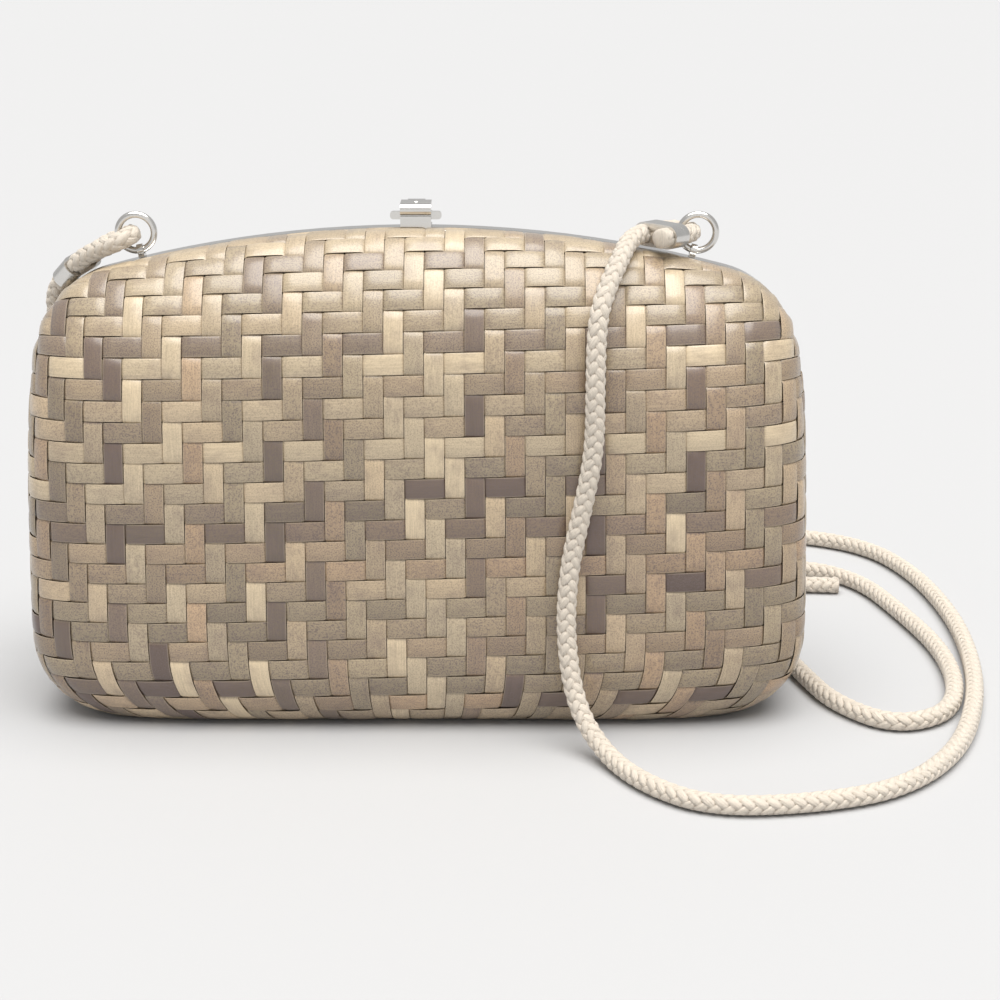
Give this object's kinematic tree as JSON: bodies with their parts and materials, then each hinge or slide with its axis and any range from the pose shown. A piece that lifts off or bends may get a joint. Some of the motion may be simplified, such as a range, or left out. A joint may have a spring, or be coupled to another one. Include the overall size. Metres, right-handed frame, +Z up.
{
  "type": "woven frame bag",
  "caption": "Small woven straw box bag with an arched hinged metal frame, a lever clasp, strap rings and a long plaited cotton cord strap.",
  "frame": {"origin": "centre of the bag's bottom, where it stands", "axes": "+Z up, -Y out of the front face, X along the width"},
  "size_m": [0.266, 0.2266, 0.138],
  "materials": {
    "straw": "glossy lacquered woven straw",
    "lining_cloth": "plain woven cotton",
    "metal": "polished nickel",
    "cord": "cream plaited cotton"
  },
  "bodies": {
    "basket": {"woven_body": "straw", "lining": "lining_cloth", "back_frame": "metal", "hinge_rivet_left": "metal", "hinge_rivet_right": "metal", "clasp_base": "metal", "clasp_pin": "metal", "ring_lug_left": "metal", "ring_lug_right": "metal", "ferrule_left": "metal", "ferrule_right": "metal", "strap_loop_left": "cord", "strap_loop_right": "cord", "strap_cord": "cord", "strap_tail": "cord"},
    "front_half": {"front_frame": "metal", "clasp_catch": "metal"},
    "lever": {"clasp_lever": "metal"},
    "ring_l": {"ring_left": "metal"},
    "ring_r": {"ring_right": "metal"}
  },
  "joints": [
    {"name": "frame_hinge", "type": "hinge", "parent": "basket", "child": "front_half", "pos_m": [0, 0, 0.0898], "axis": [1, 0, 0], "range_deg": [0, 24], "deforming": ["woven_body", "lining"]},
    {"name": "lever_hinge", "type": "hinge", "parent": "basket", "child": "lever", "pos_m": [0, 0.0027, 0.1341], "axis": [-1, 0, 0], "range_deg": [0, 95]},
    {"name": "ring_left_swing", "type": "hinge", "parent": "basket", "child": "ring_l", "pos_m": [-0.07293, 0.00255, 0.12433], "axis": [0.974, 0, 0.2266], "range_deg": [-25, 25], "deforming": ["strap_loop_left"]},
    {"name": "ring_right_swing", "type": "hinge", "parent": "basket", "child": "ring_r", "pos_m": [0.07293, 0.00255, 0.12433], "axis": [0.974, 0, -0.2266], "range_deg": [-25, 25], "deforming": ["strap_loop_right"]}
  ]
}
